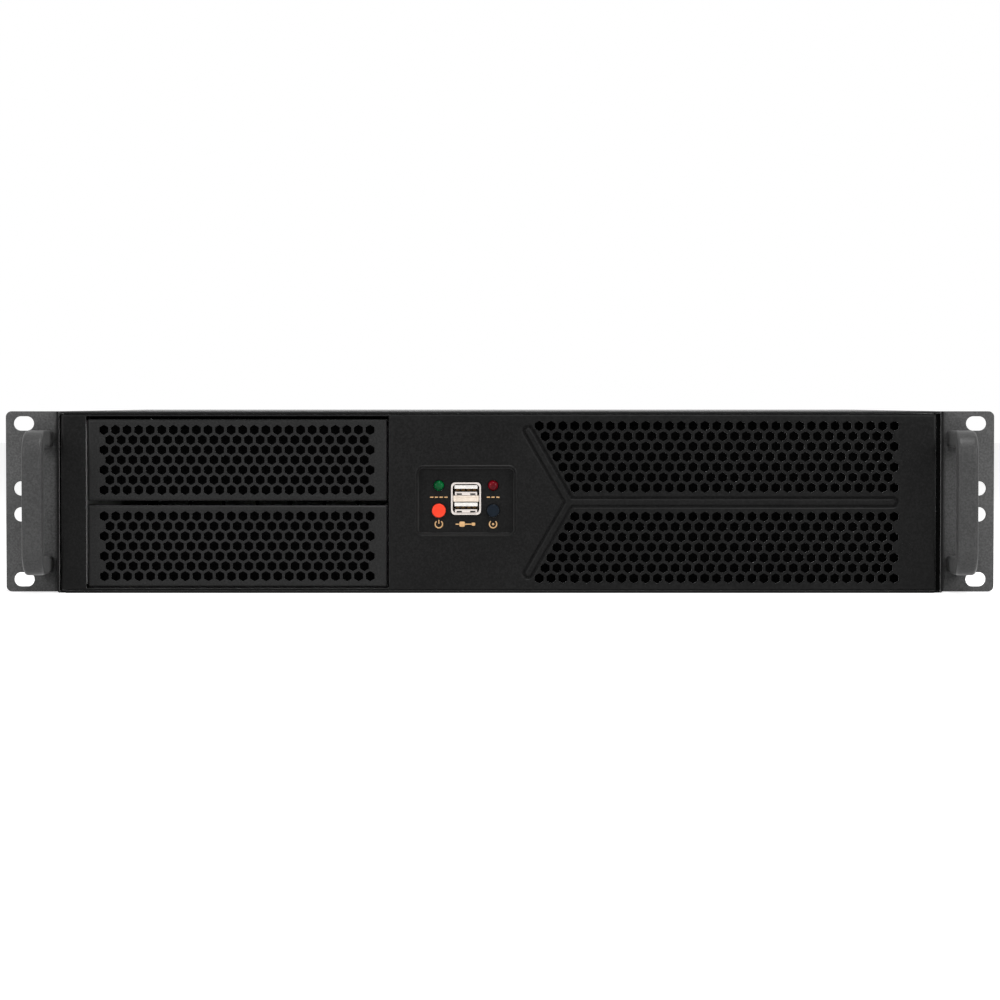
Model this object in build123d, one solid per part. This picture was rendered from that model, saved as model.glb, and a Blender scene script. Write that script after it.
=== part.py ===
from build123d import *
import os
from math import atan2, cos, pi, radians, sin, sqrt, tan

# Empty 2U rackmount server case, in millimetres.
# +X is to the right seen from the front, the front faces -Y, +Z is up.
# The origin lies on the underside, on the centre line, in the plane where the ears meet the rack.

# Case, and ears to the rack standard for a 19 inch panel two units high
case_width = 430.0
case_height = 88.1
ear_reach = 26.3
slot_inset = 8.75
slot_edge = 5.95
slot_span_inner = 12.7
slot_length = 10.0
slot_width = 7.0
ear_span = case_width + 2 * ear_reach
slot_spacing = ear_span - 2 * slot_inset
slot_span_outer = case_height - 2 * slot_edge
case_rear = 396.0
front_reach = 14.0
base_sheet = 1.2
base_setback = 0.4
base_relief = 3.0
base_bend = 0.5
fit_gap = 0.3
mid_height = case_height / 2
wall_inner = case_width / 2 - base_sheet

# Lid
lid_sheet = 1.0
lid_side_gap = 0.4
lid_side_drop = 11.0
lid_rear_drop = 11.0
lid_flange_start = 1.0
lid_front_setback = 0.3
lid_bend = 0.4
lid_under = case_height - lid_sheet
lid_half = wall_inner - lid_side_gap

# Front panel, a folded tray, a little off centre as in the photo
panel_sheet = 1.0
panel_bend = 0.5
panel_depth = 14.0
panel_left_gap = 0.9
panel_right_gap = 2.3
panel_front = -front_reach
panel_back = panel_front + panel_sheet
panel_x0 = -wall_inner + panel_left_gap
panel_x1 = wall_inner - panel_right_gap
panel_z0 = base_sheet
panel_z1 = lid_under - fit_gap

# Drive bays
drive_width = 146.05
bay_height = 41.85
bay_side_gap = 0.28
bay_margin = 12.2
bay_opening_gap = 0.1
cage_sheet = 1.0
cage_depth = 152.0
cage_foot = 9.0
cage_bend = 0.4
cage_slot_length = 52.0
cage_slot_width = 4.0
cage_slot_start = 46.0
cage_front_inset = 3.0
cage_inner = drive_width + 2 * bay_side_gap
bay_x0 = panel_x0 + bay_margin
cage_x0 = bay_x0 + bay_opening_gap
cage_x1 = cage_x0 + cage_inner
cage_top = lid_under - fit_gap
bay_x1 = cage_x1 + bay_opening_gap
bay_centre_x = (bay_x0 + bay_x1) / 2

# Bay covers
cover_sheet = 1.0
cover_bend = 0.4
cover_side_gap = 0.8
cover_between = 2.4
cover_setback = 0.5
cover_flange = 28.0
cover_lip = 6.0
cover_width = cage_inner - 2 * cover_side_gap
cover_height = bay_height - cover_between
cover_front = panel_front + cover_setback
bay_drop = 0.45
bays_middle = mid_height - bay_drop
cover_margin_x = 5.2
cover_margin_z = 2.4

# Coarse form of the hexagon grille, with about the true open share
hex_pitch = 12.4
hex_web = 2.45
hex_across = hex_pitch - hex_web
hex_radius = hex_across / sqrt(3)
hex_row = hex_pitch * sqrt(3) / 2
grille_margin = 18.2
grille_to_bay = 70.9
grille_top_margin = 3.1
grille_height = 35.2
grille_right = panel_x1 - grille_margin
grille_left = bay_x1 + grille_to_bay
grille_top = panel_z1 - grille_top_margin
grille_low = grille_top - grille_height

# Embossed Y between the two halves of the grille
emboss_depth = 0.9
emboss_half = 3.6
emboss_slope = 1.0
bead_half = 1.7
bead_slope = 0.9
emboss_arm_back = 2.4
emboss_arm_z = 34.6
emboss_stem_back = 2.7
emboss_lean = 60.0
emboss_arm_x = grille_left - emboss_arm_back
emboss_stem_x = grille_right - emboss_stem_back
emboss_joint_x = emboss_arm_x + emboss_arm_z / tan(radians(emboss_lean))

# Control recess and what shows in it
recess_to_bay = 13.7
recess_width = 47.5
recess_height = 32.8
recess_drop = 16.35
recess_depth = 2.6
recess_slope = 1.5
recess_corner = 3.0
recess_x0 = bay_x1 + recess_to_bay
recess_x1 = recess_x0 + recess_width
recess_z0 = mid_height - recess_drop
recess_z1 = recess_z0 + recess_height
led_inset = 10.5
led_spread = 26.35
led_drop = 8.4
led_x0 = recess_x0 + led_inset
led_x1 = led_x0 + led_spread
led_z = recess_z1 - led_drop
led_radius = 2.5
led_length = 8.6
led_proud = 1.6
led_round = 1.1
lead_size = 0.5
lead_pitch = 2.54
button_rise = 12.2
button_z = recess_z0 + button_rise
button_edge = 0.5
power_radius = 3.3
reset_radius = 3.0
button_proud = 2.0
button_gap = 0.25
button_flange = 1.0
button_flange_thick = 1.2
button_travel = 1.5
stem_size = 3.0
switch_size = 7.0
switch_height = 6.0
switch_bore_gap = 0.2
stem_entry = 1.6
usb_rise = 18.05
usb_x = (led_x0 + led_x1) / 2
usb_z = recess_z0 + usb_rise
usb_width = 14.6
usb_height = 15.8
usb_wall = 0.5
usb_corner = 1.9
usb_slack = 0.1
usb_proud = 0.8
usb_port_height = 5.1
usb_port_width = 12.5
usb_divider = 3.4
usb_back = 4.0
tongue_width = 11.2
tongue_thick = 2.0
tongue_setback = 0.6
tongue_drop = 0.3
board_gap = 18.0
board_thick = 1.6
board_side = 9.0
board_inset = 2.2
board_x0 = recess_x0 - board_side
board_x1 = recess_x1 + board_side
board_z0 = recess_z0 + board_inset
board_z1 = recess_z1 - board_inset
post_across = 5.0
post_inset = 3.6
recess_floor = panel_front + recess_depth
recess_back = recess_floor + panel_sheet
board_front = panel_back + board_gap

# Rack ears and handles
ear_sheet = 2.0
ear_bend = 1.0
ear_corner = 2.8
ear_flange = 46.0
ear_flange_inset = 5.0
handle_inset = 17.85
handle_margin = 9.25
handle_width = 10.1
handle_reach = 38.0
handle_leg = 8.0
handle_grip = 8.5
handle_bend = 12.5
handle_inner_bend = 5.0
handle_draft = 0.6
handle_edge = 0.9
handle_x = ear_span / 2 - handle_inset
handle_height = case_height - 2 * handle_margin

# Bracket for two fans behind the grille
fan_window_margin = 6.05
fan_pitch = 84.0
bracket_sheet = 1.0
bracket_bend = 0.5
bracket_gap = 1.0
bracket_start = 3.0
bracket_stop = 2.3
bracket_foot = 13.0
bracket_end_foot = 11.0
bracket_end_inset = 10.0
bracket_notch = 12.0
bracket_notch_depth = 6.0
fan_window = case_height - 2 * fan_window_margin
bracket_x0 = grille_left + bracket_start
bracket_x1 = grille_right - bracket_stop
fan_centre_x = (bracket_x0 + bracket_x1) / 2
fan_count = int((bracket_x1 - bracket_x0) / fan_pitch)

# Foam dust filter between the grille and the bracket
filter_thick = 4.0
filter_start = 0.5
filter_rim = 2.0
filter_x0 = grille_left - filter_start
filter_x1 = bracket_x1 - 2 * (bracket_bend + bracket_sheet)

# Rear of the case
niche_depth = 11.5
niche_side = 4.8
niche_to_psu = 4.9
niche_top_margin = 6.6
rear_flange = 12.0
psu_width = 100.0
psu_height = 70.0
psu_length = 190.0
psu_inset = 56.3
io_width = 158.75
io_height = 44.45
io_inset = 2.8
io_drop = 3.8
slot_pitch = 20.32
slot_open_width = 12.6
slot_open_rise = 7.8
slot_open_drop = 8.2
slot_to_io = 17.05
slot_cover_width = 18.4
slot_cover_sheet = 0.9
slot_cover_rise = 2.8
slot_tab = 10.5
vent_count = 14
vent_pitch = 10.4
vent_width = 4.2
vent_drop = 5.2
vent_height = 20.0
psu_x = wall_inner - psu_inset
niche_x0 = -wall_inner + niche_side
niche_x1 = psu_x - psu_width / 2 - niche_to_psu
niche_z1 = panel_z1 - niche_top_margin
io_x1 = niche_x1 - io_inset
slot_count = int((io_x1 - io_width - niche_x0) / slot_pitch)
slot_open_z0 = base_sheet + slot_open_rise
slot_open_z1 = niche_z1 - slot_open_drop
slot_cover_z0 = base_sheet + slot_cover_rise
vent_z1 = niche_z1 - vent_drop
vent_z0 = vent_z1 - vent_height
rear_inner = case_rear - base_sheet
niche_face = case_rear - niche_depth
niche_inner = niche_face - base_sheet

# Board standoffs on the standard pattern for a 305 by 244 board
main_board_width = 304.8
board_rear_gap = 1.6
board_edge_x = io_x1 - main_board_width
hole_columns = (6.35, 163.83, 288.29)
hole_rows = (10.16, 165.1, 237.49)
hole_corner_row = 33.02
standoff_height = 6.35
standoff_across = 5.5
standoff_bore = 1.25
board_rear = niche_inner - board_rear_gap

# Supply support
support_sheet = 1.2
support_bend = 0.6
support_width = 16.0
support_side = 22.0
psu_z = base_sheet + support_sheet + psu_height / 2


def block(x0, x1, y0, y1, z0, z1):
    # A plain block between two corners, for cuts and straight sheet runs
    return Pos((x0 + x1) / 2, (y0 + y1) / 2, (z0 + z1) / 2) * Box(x1 - x0, y1 - y0, z1 - z0)


def front_view(y):
    # A drawing plane seen from the front: X to the right, Z up, normal towards the front
    return Plane(origin=(0, y, 0), x_dir=(1, 0, 0), z_dir=(0, -1, 0))


def side_view(x):
    # A drawing plane seen from the right: Y to the right, Z up, normal along +X
    return Plane(origin=(x, 0, 0), x_dir=(0, 1, 0), z_dir=(1, 0, 0))


def along_y(sketch, y0, y1):
    # A front view outline run from y0 back to y1
    return extrude(front_view(y1) * sketch, y1 - y0)


def along_x(sketch, x0, x1):
    return extrude(side_view(x0) * sketch, x1 - x0)


def along_z(sketch, z0, z1):
    return extrude(Plane.XY.offset(z0) * sketch, z1 - z0)


def rod_y(radius, x, z, y0, y1):
    return along_y(Pos(x, z) * Circle(radius), y0, y1)


def fold(a0, a1, face, end, sheet, bend):
    # The section of a sheet folded to a U: a web from a0 to a1 at face, two legs up to end
    way = 1 if end > face else -1
    depth = abs(end - face)
    outer = Pos((a0 + a1) / 2, face + way * depth / 2) * Rectangle(a1 - a0, depth)
    corners = outer.vertices().sort_by(Axis.Y)
    corners = corners[:2] if way > 0 else corners[-2:]
    outer = fillet(corners, bend + sheet)
    inner = Pos((a0 + a1) / 2, face + way * (sheet + depth / 2)) * Rectangle(a1 - a0 - 2 * sheet, depth)
    corners = inner.vertices().sort_by(Axis.Y)
    corners = corners[:2] if way > 0 else corners[-2:]
    inner = fillet(corners, bend)
    return outer - inner


def swap(sketch):
    # Turns a fold drawn as (across, depth) into (depth, across)
    return mirror(Rotation(0, 0, -90) * sketch, Plane.XZ)


def tray(x0, x1, z0, z1, face, end, sheet, bend, lip=None):
    # A sheet folded back on four sides, with relieved corners
    relief = bend + sheet
    sides = along_z(fold(x0, x1, face, end, sheet, bend), z0 + relief, z1 - relief)
    lip_end = end if lip is None else lip
    ends = along_x(swap(fold(z0, z1, face, lip_end, sheet, bend)), x0 + relief, x1 - relief)
    return sides + ends


def bent(points, radii, sheet, side=Side.LEFT):
    # The section of a bent strip: the path is one face of the sheet, which lies on the given side
    path = FilletPolyline(*points, radius=radii)
    return make_face(offset(path, amount=sheet, side=side))


def hexes(points):
    # Pointed-top hexagons at the given points of a front view
    return [Pos(x, z) * RegularPolygon(hex_radius, 6, rotation=90) for x, z in points]


def hex_field(x0, x1, z0, z1):
    # Staggered rows that fill a field evenly
    rows = int((z1 - z0 - 2 * hex_radius) / hex_row) + 1
    columns = int((x1 - x0 - hex_across) / hex_pitch) + 1
    points = []
    for row in range(rows):
        count = columns - row % 2
        z = (z0 + z1) / 2 + (row - (rows - 1) / 2) * hex_row
        for column in range(count):
            points.append(((x0 + x1) / 2 + (column - (count - 1) / 2) * hex_pitch, z))
    return points


def grille_points():
    # Rows anchored at the right end and cut off along the arm of the Y, mirrored below
    rows = int((grille_top - grille_low - 2 * hex_radius) / hex_row + 0.05) + 1
    lean = tan(radians(90 - emboss_lean))
    points = []
    for row in range(rows):
        z = grille_top - hex_radius - row * hex_row
        x = grille_right - hex_across / 2 - (row % 2) * hex_pitch / 2
        limit = grille_left + (grille_top - hex_radius - z) * lean + hex_across / 2
        while x > limit - 0.01:
            points.append((x, z))
            points.append((x, case_height - z))
            x -= hex_pitch
    return points


def bar(x0, z0, x1, z1, half):
    # A bar between two points of a front view, its ends rounded in four flats
    lean = atan2(z1 - z0, x1 - x0)
    points = []
    for x, z, start in ((x1, z1, lean - pi / 2), (x0, z0, lean + pi / 2)):
        for step in range(5):
            angle = start + step * pi / 4
            points.append((x + half * cos(angle), z + half * sin(angle)))
    return make_face(Polyline(*points, close=True))


def y_ridge(half_front, half_back, y0, y1):
    # The three bars of the Y with sloping flanks, from y0 back to y1
    joint = (emboss_joint_x, mid_height)
    tips = [
        (emboss_arm_x, mid_height + emboss_arm_z),
        (emboss_arm_x, mid_height - emboss_arm_z),
        (emboss_stem_x, mid_height),
    ]
    bars = []
    for tip in tips:
        front = front_view(y0) * bar(*joint, *tip, half_front)
        back = front_view(y1) * bar(*joint, *tip, half_back)
        bars.append(loft([front, back]))
    return bars[0] + bars[1] + bars[2]


def recess_outline(inset):
    width = recess_x1 - recess_x0 - 2 * inset
    height = recess_z1 - recess_z0 - 2 * inset
    centre = Pos((recess_x0 + recess_x1) / 2, (recess_z0 + recess_z1) / 2)
    return centre * RectangleRounded(width, height, recess_corner - inset / 2)


def usb_outline(inset):
    outline = Rectangle(usb_width - 2 * inset, usb_height - 2 * inset)
    outline = chamfer(outline.vertices(), usb_corner - inset * (2 - sqrt(2)))
    return Pos(usb_x, usb_z) * outline


def make_front_panel():
    panel = tray(panel_x0, panel_x1, panel_z0, panel_z1, panel_front, panel_front + panel_depth,
                 panel_sheet, panel_bend)
    panel -= block(bay_x0, bay_x1, panel_front - 1, panel_back + panel_bend,
                   panel_z0 + panel_sheet, panel_z1 - panel_sheet)
    back_half = emboss_half + panel_sheet / 2
    panel += y_ridge(back_half, back_half - emboss_slope, panel_back, panel_back + emboss_depth)
    panel -= y_ridge(emboss_half, emboss_half - emboss_slope, panel_front, panel_front + emboss_depth)
    panel += y_ridge(bead_half - bead_slope, bead_half, panel_front, panel_front + emboss_depth)
    shell = loft([front_view(panel_front) * recess_outline(-panel_sheet),
                  front_view(recess_back) * recess_outline(recess_slope - panel_sheet)])
    shell &= block(recess_x0 - 9, recess_x1 + 9, panel_back - 0.01, recess_back, recess_z0 - 9, recess_z1 + 9)
    panel += shell
    panel -= loft([front_view(panel_front) * recess_outline(0),
                   front_view(recess_floor) * recess_outline(recess_slope)])
    for x in (led_x0, led_x1):
        panel -= rod_y(led_radius + fit_gap, x, led_z, recess_floor - 1, recess_back + 1)
    panel -= rod_y(power_radius + button_gap, led_x0, button_z, recess_floor - 1, recess_back + 1)
    panel -= rod_y(reset_radius + button_gap, led_x1, button_z, recess_floor - 1, recess_back + 1)
    panel -= along_y(usb_outline(-fit_gap), recess_floor - 1, recess_back + 1)
    panel -= along_y(Sketch() + hexes(grille_points()), panel_front - 1, panel_back + 1)
    return panel


def make_bay_cover(bottom):
    # A perforated blank folded to a tray, with long side flanges that clip into the cage
    x0 = bay_centre_x - cover_width / 2
    x1 = bay_centre_x + cover_width / 2
    top = bottom + cover_height
    cover = tray(x0, x1, bottom, top, cover_front, cover_front + cover_flange, cover_sheet, cover_bend,
                 cover_front + cover_lip)
    field = hex_field(x0 + cover_margin_x, x1 - cover_margin_x, bottom + cover_margin_z, top - cover_margin_z)
    return cover - along_y(Sketch() + hexes(field), cover_front - 1, cover_front + cover_sheet + 1)


def make_drive_cage():
    # A hat section over both bays: feet on the floor, open at the front and at the back
    y1 = panel_back + cage_depth
    start = panel_front + panel_depth + fit_gap
    outer_x0 = cage_x0 - cage_sheet
    outer_x1 = cage_x1 + cage_sheet
    roof = cage_top - cage_sheet
    path = [
        (outer_x0 - cage_foot, base_sheet),
        (cage_x0, base_sheet),
        (cage_x0, roof),
        (cage_x1, roof),
        (cage_x1, base_sheet),
        (outer_x1 + cage_foot, base_sheet),
    ]
    foot_bend = cage_bend + cage_sheet
    cage = along_y(bent(path, [foot_bend, cage_bend, cage_bend, foot_bend], cage_sheet), start, y1)
    low = panel_z0 + cage_front_inset
    high = panel_z1 - cage_front_inset
    cage += block(outer_x0, cage_x0, panel_back, start + cage_sheet, low, high)
    cage += block(cage_x1, outer_x1, panel_back, start + cage_sheet, low, high)
    for level in (-1, 1):
        z = bays_middle + level * bay_height / 2
        y = panel_back + cage_slot_start
        cage -= block(outer_x0 - 1, outer_x1 + 1, y, y + cage_slot_length,
                      z - cage_slot_width / 2, z + cage_slot_width / 2)
    return cage


def make_base():
    # Floor and both side walls folded from one sheet
    y0 = panel_front + base_setback
    section = fold(-case_width / 2, case_width / 2, 0, case_height, base_sheet, base_bend)
    base = along_y(section, y0, case_rear)
    for side in (-1, 1):
        x = side * (wall_inner - base_relief / 2)
        base -= block(x - base_relief / 2, x + base_relief / 2, y0 - 1, y0 + base_relief, -1, base_sheet + 1)
    return base


def make_lid():
    # Lid between the side walls, folded down at the sides and behind the rear panel
    y0 = panel_front + lid_front_setback
    y1 = case_rear + fit_gap
    lid = block(-lid_half, lid_half, y0, lid_flange_start, lid_under, case_height)
    sides = fold(-lid_half, lid_half, case_height, case_height - lid_side_drop, lid_sheet, lid_bend)
    lid += along_y(sides, lid_flange_start, y1)
    turn = lid_bend + lid_sheet
    rear = block(-lid_half + turn, lid_half - turn, y1 - 1, y1 + lid_sheet, case_height - lid_rear_drop,
                 case_height)
    rear = fillet(rear.edges().filter_by(Axis.X).group_by(Axis.Y)[-1].sort_by(Axis.Z)[-1], turn)
    rear -= block(-lid_half, lid_half, y1 - 2, y1, 0, lid_under)
    lid += rear
    return lid


def make_rear_panel():
    # A tray with a niche: the board connectors and card slots stand forward of the supply's wall
    end = case_rear - rear_flange
    panel = tray(-wall_inner, wall_inner, base_sheet, panel_z1, case_rear, end, base_sheet, panel_bend)
    panel -= block(niche_x0, niche_x1, end, case_rear + 1, base_sheet - 1, niche_z1)
    outer = block(niche_x0 - base_sheet, niche_x1 + base_sheet, niche_inner, case_rear, base_sheet,
                  niche_z1 + base_sheet)
    outer -= block(niche_x0, niche_x1, niche_face, case_rear + 1, base_sheet - 1, niche_z1)
    panel += outer
    io_z0 = base_sheet + standoff_height + board_thick - io_drop
    panel -= block(io_x1 - io_width, io_x1, niche_inner - 1, niche_face + 1, io_z0, io_z0 + io_height)
    for x in slot_centres():
        panel -= block(x - slot_open_width / 2, x + slot_open_width / 2, niche_inner - 1, niche_face + 1,
                       slot_open_z0, slot_open_z1)
    panel -= block(psu_x - psu_width / 2, psu_x + psu_width / 2, rear_inner - 1, case_rear + 1,
                   psu_z - psu_height / 2, psu_z + psu_height / 2)
    for index in range(vent_count):
        x = io_x1 - io_width / 2 + (index - (vent_count - 1) / 2) * vent_pitch
        panel -= block(x - vent_width / 2, x + vent_width / 2, niche_inner - 1, niche_face + 1,
                       vent_z0, vent_z1)
    # The upper corners are cut back so that the lid's side flanges slide past
    for side in (-1, 1):
        inner = side * (lid_half - lid_sheet - fit_gap)
        outer = side * (wall_inner + 1)
        panel -= block(min(inner, outer), max(inner, outer), end - 1, case_rear + 1,
                       case_height - lid_side_drop - fit_gap, case_height)
    return panel


def slot_centres():
    first = io_x1 - io_width - slot_to_io
    return [first - slot_pitch * index for index in range(slot_count)]


def make_slot_covers():
    # Blank brackets: an upright plate inside the niche wall and a tab turned onto the niche roof
    tab_z = niche_z1 + base_sheet
    covers = []
    for x in slot_centres():
        x0 = x - slot_cover_width / 2
        x1 = x + slot_cover_width / 2
        plate = block(x0, x1, niche_inner - slot_cover_sheet, niche_inner, slot_cover_z0,
                      tab_z + slot_cover_sheet)
        plate -= block(x0 - 1, x - slot_open_width / 2, niche_inner - 2, niche_inner + 1, slot_cover_z0 - 1,
                       slot_open_z0)
        plate -= block(x + slot_open_width / 2, x1 + 1, niche_inner - 2, niche_inner + 1, slot_cover_z0 - 1,
                       slot_open_z0)
        tab = block(x0, x1, niche_inner, niche_inner + slot_tab, tab_z, tab_z + slot_cover_sheet)
        covers.append(plate + tab)
    return Compound(covers)


def make_standoffs():
    # Threaded hexagon posts on the floor, one under each hole of the board
    posts = []
    for x, y in standoff_places():
        post = Pos(x, y) * RegularPolygon(standoff_across / sqrt(3), 6)
        post -= Pos(x, y) * Circle(standoff_bore)
        posts.append(along_z(post, base_sheet, base_sheet + standoff_height))
    return Compound(posts)


def standoff_places():
    places = []
    for column, across in enumerate(hole_columns):
        for row, back in enumerate(hole_rows):
            if column == 2 and row == 0:
                back = hole_corner_row
            places.append((board_edge_x + across, board_rear - back))
    return places


def make_supply_support():
    # A folded cradle on the floor for the front end of the power supply
    x0 = psu_x - psu_width / 2 - support_sheet - fit_gap
    x1 = psu_x + psu_width / 2 + support_sheet + fit_gap
    y0 = rear_inner - psu_length
    section = fold(x0, x1, base_sheet, base_sheet + support_side, support_sheet, support_bend)
    return along_y(section, y0, y0 + support_width)


def make_ear(side):
    # Flat rack plate and a flange turned back along the side wall
    x_wall = case_width / 2
    x_tip = ear_span / 2
    plate = Pos((x_wall + x_tip) / 2, -ear_sheet / 2) * Rectangle(x_tip - x_wall, ear_sheet)
    flange = Pos(x_wall + ear_sheet / 2, (ear_flange - ear_sheet) / 2)
    flange *= Rectangle(ear_sheet, ear_flange + ear_sheet)
    section = plate + flange
    outer = section.vertices().sort_by_distance((x_wall, -ear_sheet, 0))[0]
    section = fillet(outer, ear_bend + ear_sheet)
    inner = section.vertices().sort_by_distance((x_wall + ear_sheet, 0, 0))[0]
    section = fillet(inner, ear_bend)
    ear = along_z(section, 0, case_height)
    for z0, z1 in ((-1, ear_flange_inset), (case_height - ear_flange_inset, case_height + 1)):
        ear -= block(x_wall - 1, x_wall + ear_sheet + ear_bend, ear_bend, ear_flange + 1, z0, z1)
    tips = ear.edges().filter_by(Axis.Y).group_by(Axis.X)[-1]
    ear = fillet(tips, ear_corner)
    slot = SlotOverall(slot_length, slot_width)
    for span in (slot_span_outer, slot_span_inner):
        for way in (-1, 1):
            place = Pos(slot_spacing / 2, mid_height + way * span / 2)
            ear -= along_y(place * slot, -ear_sheet - 1, 1)
    return ear if side > 0 else mirror(ear, Plane.YZ)


def make_handle(side):
    # A cast bow: two legs on the ear and a straight grip, drawn from the side
    base = -ear_sheet
    front = base - handle_reach
    half = handle_height / 2
    tip = half - handle_draft
    outline = Polyline((base, -half), (front, -tip), (front, tip), (base, half), close=True)
    outer = make_face(outline)
    outer = fillet(outer.vertices().sort_by(Axis.X)[:2], handle_bend)
    gap_half = half - handle_leg
    inner = Pos((base + front + handle_grip) / 2, 0) * Rectangle(handle_reach - handle_grip, 2 * gap_half)
    inner = fillet(inner.vertices().sort_by(Axis.X)[:2], handle_inner_bend)
    section = Pos(0, mid_height) * (outer - inner)
    bow = along_x(section, handle_x - handle_width / 2, handle_x + handle_width / 2)
    rim = [edge for face in bow.faces().filter_by(Axis.X) for edge in face.edges()]
    outside = [edge for edge in rim if edge.center().Y < front + handle_grip - 0.5
               or abs(edge.center().Z - mid_height) > gap_half + 0.5]
    bow = chamfer(outside, handle_edge)
    return bow if side > 0 else mirror(bow, Plane.YZ)


def make_button(x, radius):
    # Cap, retaining flange behind the recess floor, and the stem that enters the switch
    front = recess_floor - button_proud
    flange_y = recess_back + fit_gap
    cap = rod_y(radius, x, button_z, front, flange_y)
    cap = chamfer(cap.edges().filter_by(GeomType.CIRCLE).sort_by(Axis.Y)[0], button_edge)
    half = radius + button_flange
    flange = block(x - half, x + half, flange_y, flange_y + button_flange_thick,
                   button_z - half, button_z + half)
    stem_end = board_front - switch_height + stem_entry
    stem = block(x - stem_size / 2, x + stem_size / 2, flange_y, stem_end,
                 button_z - stem_size / 2, button_z + stem_size / 2)
    return cap + flange + stem


def make_switches():
    # Push switches soldered to the control board
    switches = []
    for x in (led_x0, led_x1):
        front = board_front - switch_height
        body = block(x - switch_size / 2, x + switch_size / 2, front, board_front,
                     button_z - switch_size / 2, button_z + switch_size / 2)
        bore_end = front + stem_entry + button_travel + fit_gap
        bore = stem_size / 2 + switch_bore_gap
        body -= block(x - bore, x + bore, front - 1, bore_end, button_z - bore, button_z + bore)
        switches.append(body)
    return Compound(switches)


def make_led(x):
    # A round lamp in the recess floor, its leads soldered to the board
    tip = recess_floor - led_proud
    end = tip + led_length
    lamp = rod_y(led_radius, x, led_z, tip, end)
    lamp = chamfer(lamp.edges().filter_by(GeomType.CIRCLE).sort_by(Axis.Y)[0], led_round)
    for way in (-1, 1):
        lead_x = x + way * lead_pitch / 2
        lamp += block(lead_x - lead_size / 2, lead_x + lead_size / 2, end - 1, board_front,
                      led_z - lead_size / 2, led_z + lead_size / 2)
    return lamp


def make_usb_shell():
    # Folded shell around both sockets
    front = recess_floor - usb_proud
    return along_y(usb_outline(0) - usb_outline(usb_wall), front, board_front)


def make_usb_insulator():
    # One moulding: a block behind and between the sockets, and the two contact tongues
    front = recess_floor - usb_proud
    body = along_y(usb_outline(usb_wall + usb_slack), front + tongue_setback, board_front)
    rise = (usb_port_height + usb_divider) / 2
    for way in (-1, 1):
        z = usb_z + way * rise
        port = block(usb_x - usb_port_width / 2, usb_x + usb_port_width / 2, front - 1, board_front - usb_back,
                     z - usb_port_height / 2, z + usb_port_height / 2)
        tongue = block(usb_x - tongue_width / 2, usb_x + tongue_width / 2, front + 2 * tongue_setback,
                       board_front - usb_back + 1, z + usb_port_height / 2 - tongue_drop - tongue_thick,
                       z + usb_port_height / 2 - tongue_drop)
        body = body - port + tongue
    return body


def make_control_board():
    return block(board_x0, board_x1, board_front, board_front + board_thick, board_z0, board_z1)


def make_control_posts():
    # Hexagon posts between the panel's back and the control board
    posts = []
    for x in (board_x0 + post_inset, board_x1 - post_inset):
        for z in (board_z0 + post_inset, board_z1 - post_inset):
            outline = Pos(x, z) * RegularPolygon(post_across / sqrt(3), 6)
            posts.append(along_y(outline, panel_back, board_front))
    return Compound(posts)


def make_fan_bracket():
    # An upright plate with two fan windows, a foot on the floor and one on the back of the panel
    face = panel_front + panel_depth + bracket_gap
    back = face + bracket_sheet
    top = panel_z1 - bracket_gap
    turn = bracket_bend + bracket_sheet
    foot = base_sheet + bracket_sheet
    upright = [(back, top), (back, foot), (back + bracket_foot, foot)]
    bracket = along_x(bent(upright, [bracket_bend], bracket_sheet, Side.RIGHT), bracket_x0,
                      bracket_x1 - 2 * turn)
    end = [(bracket_x1 - 4 * turn, back), (bracket_x1, back), (bracket_x1, panel_back + bracket_sheet),
           (bracket_x1 + bracket_end_foot, panel_back + bracket_sheet)]
    outline = bent(end, [turn, bracket_bend], bracket_sheet, Side.RIGHT)
    bracket += along_z(outline, base_sheet + bracket_end_inset, top - bracket_end_inset)
    # The foot is split in two tabs, so that it passes the stem of the Y
    bracket -= block(bracket_x1 - 2 * turn, bracket_x1 + bracket_end_foot + 1, panel_back - 1,
                     panel_back + bracket_notch_depth, mid_height - bracket_notch, mid_height + bracket_notch)
    for index in range(fan_count):
        x = fan_centre_x + (index - (fan_count - 1) / 2) * fan_pitch
        bracket -= rod_y(fan_window / 2, x, mid_height, face - 1, back + 1)
    return bracket


def make_dust_filter():
    # A plain sheet of open foam that lies against the front of the bracket
    face = panel_front + panel_depth + bracket_gap
    return block(filter_x0, filter_x1, face - filter_thick, face, panel_z0 + filter_rim, panel_z1 - filter_rim)


nodes = {
    "chassis_base": make_base(),
    "rear_panel": make_rear_panel(),
    "front_panel": make_front_panel(),
    "top_cover": make_lid(),
    "rack_ear_left": make_ear(-1),
    "rack_ear_right": make_ear(1),
    "handle_left": make_handle(-1),
    "handle_right": make_handle(1),
    "bay_cover_upper": make_bay_cover(bays_middle + cover_between / 2),
    "bay_cover_lower": make_bay_cover(bays_middle - cover_between / 2 - cover_height),
    "drive_cage": make_drive_cage(),
    "fan_bracket": make_fan_bracket(),
    "dust_filter": make_dust_filter(),
    "slot_covers": make_slot_covers(),
    "board_standoffs": make_standoffs(),
    "supply_support": make_supply_support(),
    "power_button": make_button(led_x0, power_radius),
    "reset_button": make_button(led_x1, reset_radius),
    "control_switches": make_switches(),
    "power_led": make_led(led_x0),
    "drive_led": make_led(led_x1),
    "usb_shell": make_usb_shell(),
    "usb_insulator": make_usb_insulator(),
    "control_board": make_control_board(),
    "control_posts": make_control_posts(),
}

os.makedirs("parts", exist_ok=True)
for name, shape in nodes.items():
    export_step(shape, f"parts/{name}.step")
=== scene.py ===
import math

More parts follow.
